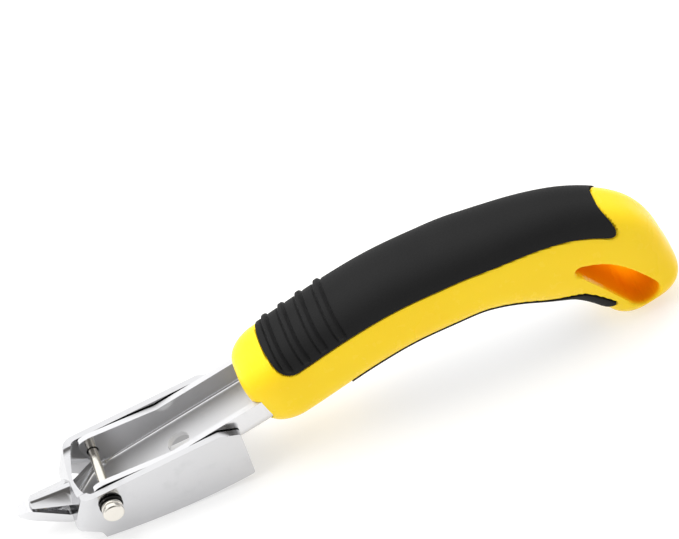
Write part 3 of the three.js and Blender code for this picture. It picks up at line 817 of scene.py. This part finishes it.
@dataclass
class RubberPad:
    """One rubber pad let into the handle, with its outline on the handle's skin, in mm."""

    name: str
    node: str
    face: Face
    front: float
    rear: float
    wrap: float
    corner: float
    slant: float = 0.0
    bow: float = 0.0
    proud: float = 0.35
    thickness: float = 1.5
    clear: float = 5.0
    flare: float = 0.0
    ribs: tuple[float, ...] = ()
    rib_width: float = 1.7
    rib_height: float = 0.62
    groove_depth: float = 0.34
    rib_end: float = 1.4
    across: int = 96
    rim: float = 0.42
    flare_from: float = 32
    flare_to: float = 12

    def ends(self, depth: np.ndarray, y: np.ndarray, half_width: np.ndarray) -> tuple[np.ndarray, np.ndarray]:
        """The front and rear ends at points that deep under the pad's crest."""
        front = self.front + self.bow * np.clip(np.abs(y) / half_width, 0, 1) ** 2
        rear = self.rear + self.slant * (depth + self.clear) / (self.wrap + self.clear)
        return front, rear

    def reach_down(self, distance: np.ndarray) -> np.ndarray:
        """How deep under the crest the long edges are, more toward the rear if it flares."""
        grown = ease(distance, self.rear - self.flare_from, self.rear - self.flare_to)
        return self.wrap + self.flare * grown

    def inside(self, body: HandleShape, dyn: np.ndarray) -> np.ndarray:
        """How far points on the skin lie inside the pad's outline, in mm; outside is negative."""
        width, height = body.size(dyn[:, 0])
        depth = height - self.face.value * dyn[:, 2]
        front, rear = self.ends(depth, dyn[:, 1], width)
        side = self.reach_down(dyn[:, 0]) - depth
        end = np.minimum(dyn[:, 0] - front, rear - dyn[:, 0])
        r = self.corner
        rounded = r - np.hypot(np.maximum(r - side, 0), np.maximum(r - end, 0))
        both = (side < r) & (end < r)
        return np.where(both, rounded, np.minimum(side, end))

    def relief(self, dyn: np.ndarray, edge: np.ndarray) -> np.ndarray:
        """The ribs' height over the pad's face, with a fine line sunk on both sides of each."""
        shoulder, groove_off, groove_half = (-0.45, 0.1), 0.3, 0.22
        high = np.zeros(len(dyn))
        fade = ease(edge, self.rib_end * 0.4, self.rib_end)
        for rib in self.ribs:
            off = np.abs(dyn[:, 0] - rib - self.rib_width / 2) - self.rib_width / 2
            groove = np.exp(-(((off - groove_off) / groove_half) ** 2))
            high += self.rib_height * (1 - ease(off, *shoulder)) * fade
            high -= self.groove_depth * groove * fade
        return high

    def build(self, body: HandleShape) -> bpy.types.Object:
        """Builds the pad: a grid laid on the skin, given its thickness and rounded edges."""
        rows = self.stations()
        passes = 6
        deselect()
        bpy.ops.mesh.primitive_grid_add(
            x_subdivisions=len(rows) - 1, y_subdivisions=self.across, size=2
        )
        made = bpy.context.object

        def lay(old: np.ndarray) -> np.ndarray:
            i = np.round((old[:, 0] + 1) / 2 * (len(rows) - 1)).astype(int)
            side = old[:, 1]
            share = rows[i]
            length = body.line.length
            front = np.full(len(old), self.front)
            rear = np.full(len(old), self.rear)
            dyn = np.zeros((len(old), 3))
            for _ in range(passes):
                distance = np.clip(front + share * (rear - front), 0, length)
                end = np.minimum(distance - front, rear - distance)
                hollow = np.sqrt(np.maximum(self.corner**2 - np.maximum(self.corner - end, 0) ** 2, 0))
                limit = self.reach_down(distance) - self.corner + hollow
                dyn = self.on_skin(body, distance, side, limit)
                width, height = body.size(distance)
                depth = height - self.face.value * dyn[:, 2]
                front, rear = self.ends(depth, dyn[:, 1], width)
            edge = self.inside(body, dyn)
            lift = self.proud + self.relief(dyn, edge)
            dyn[:, 1:] += body.outward(dyn) * lift[:, None]
            return body.world(dyn)

        shape(made, lay)
        activate(made)
        bpy.ops.object.mode_set(mode="EDIT")
        bpy.ops.mesh.select_all(action="SELECT")
        bpy.ops.mesh.remove_doubles(threshold=GRID_MERGE)
        if self.face is Face.TOP:
            bpy.ops.mesh.flip_normals()
        bpy.ops.object.mode_set(mode="OBJECT")
        settle(made, self.name)
        middle = made.data.polygons[len(made.data.polygons) // 2]
        heart = body.world(np.array([[body.line.length / 2, 0.0, 0.0]]))[0]
        if (middle.center - Vector(heart)).dot(middle.normal) < 0:
            made.data.flip_normals()
        modify(made, "SOLIDIFY", thickness=self.thickness * MM, offset=-1, use_even_offset=False)
        roll_rims(made, self.rim, 3, 50)
        smooth(made, 60)
        Finish.RUBBER.dress(made)
        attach(made, "lever_body")
        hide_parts(self.node)
        return made

    def stations(self) -> np.ndarray:
        """Shares of the pad's length for its rows, close together at the ends and the ribs."""
        coarse_step, fine_step, past_ribs = 0.9, 0.16, 2
        from_end = np.array([0.04, 0.12, 0.25, 0.42, 0.62, 0.85, 1.15, 1.5, 1.9, 2.4, 3.0, 3.7])
        length = self.rear - self.front
        ribbed = max(self.ribs) + self.rib_width + past_ribs if self.ribs else self.front
        fine = (ribbed - self.front) / length
        coarse = np.linspace(fine, 1, int(length * (1 - fine) / coarse_step))
        front = np.linspace(0, fine, int(length * fine / fine_step), endpoint=False)
        edge = from_end / length
        return np.unique(np.concatenate([front, coarse, edge, 1 - edge]).round(6))

    def on_skin(
        self, body: HandleShape, distance: np.ndarray, side: np.ndarray, limit: np.ndarray
    ) -> np.ndarray:
        """Points on the skin between the pad's two long edges.

        Args:
            body: the handle.
            distance: distances along the line.
            side: -1 at one long edge and 1 at the other.
            limit: how deep under the crest the edges are, as many.

        Returns:
            Rows of (distance, y, n).
        """
        width, height = body.size(distance)
        power = body.squareness
        level = np.clip((height - limit) / height, 0, 1)
        out = np.zeros((len(distance), 3))
        out[:, 0] = distance
        turn = np.linspace(0, math.pi / 2, 181)
        y1, n1 = np.sin(turn) ** (2 / power), np.cos(turn) ** (2 / power)
        for k in range(len(distance)):
            y, n = y1 * width[k], n1 * height[k]
            run = np.concatenate([[0], np.cumsum(np.hypot(np.diff(y), np.diff(n)))])
            most = np.interp(-level[k], -n1, run)
            where = abs(side[k]) * most
            out[k, 1] = math.copysign(np.interp(where, run, y), side[k])
            out[k, 2] = np.interp(where, run, n) * self.face.value
        return out


@dataclass
class HangSlot:
    """The teardrop slot through the tail, in mm."""

    length: float = 30.2
    inset: float = 3.8
    front_width: float = 3.4
    rear_width: float = 9.2
    front_offset: float = -1.8
    rear_offset: float = -0.3
    lip: float = 0.7

    def inside(self, body: HandleShape, dyn: np.ndarray) -> np.ndarray:
        """How far points lie inside the slot's outline, in mm; outside is negative."""
        start = body.line.length - self.inset - self.length
        a, b = self.front_width / 2, self.rear_width / 2
        x = dyn[:, 0] - start
        t = np.clip((x - a) / (self.length - a - b), 0, 1)
        n = dyn[:, 2] - self.front_offset - (self.rear_offset - self.front_offset) * t
        middle = a + t * (self.length - a - b)
        return a + (b - a) * t - np.hypot(x - middle, n)

    def cut(self, body: HandleShape, obj: bpy.types.Object) -> None:
        """Cuts the slot through an object with a drum shaped to the outline."""
        count = 72
        deselect()
        bpy.ops.mesh.primitive_cylinder_add(vertices=count, radius=1, depth=2, end_fill_type="NGON")
        cutter = bpy.context.object

        def lay(old: np.ndarray) -> np.ndarray:
            turn = np.arctan2(old[:, 1], old[:, 0])
            start = body.line.length - self.inset - self.length
            a, b = self.front_width / 2, self.rear_width / 2
            rear = np.cos(turn) > 1e-6
            radius = np.where(rear, b, a)
            centre = np.where(rear, start + self.length - b, start + a)
            dyn = np.stack(
                [
                    centre + radius * np.cos(turn),
                    np.sign(old[:, 2]) * body.width,
                    np.where(rear, self.rear_offset, self.front_offset) + radius * np.sin(turn),
                ],
                1,
            )
            return body.world(dyn)

        shape(cutter, lay)
        settle(cutter, "slot_cutter")
        activate(cutter)
        bpy.ops.object.mode_set(mode="EDIT")
        bpy.ops.mesh.select_all(action="SELECT")
        bpy.ops.mesh.normals_make_consistent(inside=False)
        bpy.ops.object.mode_set(mode="OBJECT")
        modify(obj, "BOOLEAN", operation="DIFFERENCE", object=cutter, solver="EXACT")
        bpy.data.objects.remove(cutter)


@dataclass
class Handle:
    """The moulded handle with its two pads."""

    body: HandleShape = field(default_factory=HandleShape)
    slot: HangSlot = field(default_factory=HangSlot)
    sides: int = 200
    row_step: float = 0.42
    end_rows: int = 26
    end_spread: float = 1.7
    front_end: float = 10
    rear_end: float = 8
    cap_rows: int = 7
    bulge: float = 0.25
    recess: float = 1.5
    dip: float = 0.3
    lip: float = 0.5
    pad_front: float = 10.8
    rib_first: float = 2.6
    rib_pitch: float = 5.6
    rib_count: int = 4

    def pads(self) -> list[RubberPad]:
        """The top pad with its ribs and the belly pad."""
        length = self.body.line.length
        first = self.pad_front + self.rib_first
        top = RubberPad(
            "top_pad", "top_grip", Face.TOP,
            front=self.pad_front, rear=length - 35.8, wrap=5.8, corner=4.4, slant=11.4, bow=1.2,
            ribs=tuple(first + self.rib_pitch * k for k in range(self.rib_count)),
        )
        belly = RubberPad(
            "belly_pad", "belly_grip", Face.BELLY,
            front=24.0, rear=length - 10.6, wrap=2.8, corner=1.6, flare=2.2,
        )
        return [top, belly]

    def build(self) -> list[bpy.types.Object]:
        """Builds the handle and the pads and dresses them."""
        pads = self.pads()
        shell = self.shell(pads)
        return [shell, *(pad.build(self.body) for pad in pads)]

    def stations(self) -> tuple[np.ndarray, np.ndarray]:
        """The tube's rows, close together at its ends and shut there.

        Returns:
            Each row's distance along the line and its section's size as a share of its own.
        """
        length = self.body.line.length
        near = np.linspace(0, 1, self.end_rows, endpoint=False) ** self.end_spread * self.front_end
        far = length - np.linspace(1, 0, self.end_rows) ** self.end_spread * self.rear_end
        middle = np.arange(self.front_end, length - self.rear_end, self.row_step)
        distance = np.concatenate([near, middle, far])
        shut = np.linspace(0, 1, self.cap_rows, endpoint=False)
        front, rear = np.zeros(self.cap_rows), np.full(self.cap_rows, length)
        rows = np.concatenate([front, distance, rear])
        return rows, np.concatenate([shut, np.ones(len(distance)), shut[::-1]])

    def sunk(self, dyn: np.ndarray, pads: Sequence[RubberPad]) -> np.ndarray:
        """How deep the skin is sunk under and beside the pads.

        Args:
            dyn: handle points on the skin.
            pads: the pads.

        Returns:
            Depths in mm.
        """
        wall, rim, far_off = (-0.4, 0.1), 0.1, -9
        drop = np.zeros(len(dyn))
        for pad in pads:
            edge = pad.inside(self.body, dyn)
            edge = np.where(pad.face.value * dyn[:, 2] > 0, edge, far_off)
            beside = np.clip(1 + (edge - rim) / self.lip, 0, 1) ** 2
            drop += self.recess * ease(edge, *wall)
            drop += self.dip * np.where(edge < rim, beside, 1)
        return drop

    def slot_lip(self, dyn: np.ndarray) -> np.ndarray:
        """How far the skin is drawn in across the handle, round the slot's edge and inside it."""
        sideways, inner_slope = 2, 2
        edge = self.slot.inside(self.body, dyn)
        share = np.clip(1 + edge / self.slot.lip, 0, 1)
        dip = self.slot.lip * (1 - np.sqrt(1 - share**2)) + np.maximum(edge, 0) * inner_slope
        return np.where(np.abs(dyn[:, 1]) > sideways, np.sign(dyn[:, 1]) * dip, 0)

    def shell(self, pads: Sequence[RubberPad]) -> bpy.types.Object:
        """The yellow body: a tube laid on the line, sunk under the pads, slotted and pocketed."""
        body = self.body
        rows, squeeze = self.stations()
        last = len(rows) - 1
        deselect()
        bpy.ops.mesh.primitive_grid_add(x_subdivisions=last, y_subdivisions=self.sides, size=2)
        made = bpy.context.object

        def lay(old: np.ndarray) -> np.ndarray:
            i = np.round((old[:, 0] + 1) / 2 * last).astype(int)
            dyn = body.skin(rows[i], (old[:, 1] + 1) / 2, squeeze[i])
            dyn[:, 1:] -= body.outward(dyn) * self.sunk(dyn, pads)[:, None]
            dyn[:, 1] -= self.slot_lip(dyn)
            swell = self.bulge * (1 - squeeze[i] ** 2)
            dyn[:, 0] += np.where(i > last - self.cap_rows, swell, 0)
            return body.world(dyn)

        shape(made, lay)
        activate(made)
        bpy.ops.object.mode_set(mode="EDIT")
        bpy.ops.mesh.select_all(action="SELECT")
        bpy.ops.mesh.remove_doubles(threshold=GRID_MERGE)
        bpy.ops.mesh.normals_make_consistent(inside=False)
        bpy.ops.object.mode_set(mode="OBJECT")
        settle(made, "handle_shell")
        self.slot.cut(body, made)
        self.pocket(made)
        smooth(made, 42)
        Finish.YELLOW.dress(made)
        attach(made, "lever_body")
        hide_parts("handle_body")
        return made

    def pocket(self, shell: bpy.types.Object) -> None:
        """Cuts the arm's room out of the shell with a slightly swollen copy of the arm."""
        room = 0.12 * MM
        cutter = copy_of_node("lever_arm", "arm_room")
        activate(cutter)
        bpy.ops.object.mode_set(mode="EDIT")
        bpy.ops.mesh.select_all(action="SELECT")
        bpy.ops.transform.shrink_fatten(value=room, use_even_offset=True)
        bpy.ops.object.mode_set(mode="OBJECT")
        modify(shell, "BOOLEAN", operation="DIFFERENCE", object=cutter, solver="EXACT")
        bpy.data.objects.remove(cutter)


# ---------------------------------------------------------------- studio
@dataclass
class Studio:
    """Plain pale floor, soft light and the camera."""

    distance: float = 1.2
    sensor: float = 36.0
    width_seen: float = 0.1825
    right_shift: float = 64.41
    up_shift: float = 54.38
    camera_right: tuple[float, float, float] = (0.844, -0.273, -0.461)
    camera_up: tuple[float, float, float] = (0.515, 0.652, 0.5565)
    floor_size: float = 6.0
    floor_gap: float = 0.1
    floor_tone: float = 0.54
    floor_glow: float = 0.5
    dark: tuple[float, float, float] = (0.22, 0.21, 0.2)
    dark_edge: tuple[float, float] = (0.8, 0.93)
    glow_edge: tuple[float, float] = (0.2, 0.75)
    glow: tuple[float, float] = (0.8, 1.6)

    def build(self) -> None:
        """Makes the floor, the lights, the surroundings and the camera."""
        self.floor()
        self.surroundings()
        self.lights()
        self.camera()

    def floor(self) -> None:
        """A wide pale floor, a hair under the tool."""
        deselect()
        place = (0, 0, -self.floor_gap * MM)
        bpy.ops.mesh.primitive_plane_add(size=self.floor_size, location=place)
        ground = bpy.context.object
        ground.name = "floor"
        shader = Shader("pale_floor")
        shader.feed("Base Color", (*[self.floor_tone] * 3, 1))
        shader.feed("Roughness", 0.9)
        shader.feed("Specular IOR Level", 0.0)
        shader.feed("Emission Color", (1, 1, 1, 1))
        shader.feed("Emission Strength", self.floor_glow)
        ground.data.materials.append(shader.material)

    def surroundings(self) -> None:
        """A pale studio all round, darker behind the camera and brightest opposite it, high up."""
        world = bpy.data.worlds.new("studio")
        bpy.context.scene.world = world
        world.use_nodes = True
        tree = world.node_tree
        back = tree.nodes["Background"]
        where = tree.nodes.new("ShaderNodeTexCoord").outputs["Generated"]

        def toward(way: Vector) -> bpy.types.NodeSocket:
            """How nearly a direction of the surroundings is some way, up to 1."""
            made = tree.nodes.new("ShaderNodeVectorMath")
            made.operation = "DOT_PRODUCT"
            made.inputs[1].default_value = way
            tree.links.new(where, made.inputs[0])
            return made.outputs["Value"]

        ramp = tree.nodes.new("ShaderNodeValToRGB")
        stops = zip(ramp.color_ramp.elements, self.dark_edge, ((1, 1, 1), self.dark))
        for element, place, colour in stops:
            element.position, element.color = place, (*colour, 1)
        tree.links.new(toward(ARM.direction(*TO_CAMERA)), ramp.inputs[0])
        tree.links.new(ramp.outputs[0], back.inputs["Color"])
        x, y, z = TO_CAMERA
        glow = tree.nodes.new("ShaderNodeMapRange")
        for name, value in zip(("From Min", "From Max", "To Min", "To Max"), self.glow_edge + self.glow):
            glow.inputs[name].default_value = value
        tree.links.new(toward(ARM.direction(-x, -y, z)), glow.inputs["Value"])
        tree.links.new(glow.outputs[0], back.inputs["Strength"])

    def lights(self) -> None:
        """One large soft light overhead and a smaller one from the left."""
        for name, place, size, power in (
            ("overhead", (-0.1, 0.35, 1.1), 0.9, 7.0),
            ("left", (-1.0, -0.25, 0.7), 0.5, 3.0),
        ):
            deselect()
            bpy.ops.object.light_add(type="AREA", location=place)
            lamp = bpy.context.object
            lamp.name = name
            lamp.data.size = size
            lamp.data.energy = power
            lamp.visible_glossy = False
            lamp.rotation_euler = (-Vector(place)).to_track_quat("-Z", "Y").to_euler()

    def camera(self) -> None:
        """The camera, looking at the middle of its frame."""
        right = ARM.direction(*self.camera_right)
        up = ARM.direction(*self.camera_up)
        back = right.cross(up).normalized()
        up = back.cross(right).normalized()
        target = ARM.pin + right * self.right_shift * MM + up * self.up_shift * MM
        deselect()
        bpy.ops.object.camera_add()
        eye = bpy.context.object
        eye.name = "studio_camera"
        turn = Matrix((right, up, back)).transposed().to_4x4()
        eye.matrix_world = Matrix.Translation(target + back * self.distance) @ turn
        eye.data.sensor_width = self.sensor
        eye.data.lens = self.sensor * self.distance / self.width_seen
        eye.data.clip_start, eye.data.clip_end = 0.05, 20
        bpy.context.scene.camera = eye
        bpy.context.scene.view_settings.view_transform = "Standard"


def main() -> None:
    """Builds the tool and the studio."""
    logging.basicConfig(level=logging.INFO, format="%(name)s: %(message)s")
    made = [JawCover().build(), LeverArm().build(), *Pivot().build(), *Handle().build()]
    for piece in made:
        LOG.info("%s: %d faces", piece.name, len(piece.data.polygons))
    Studio().build()


if __name__ == "__main__":
    main()
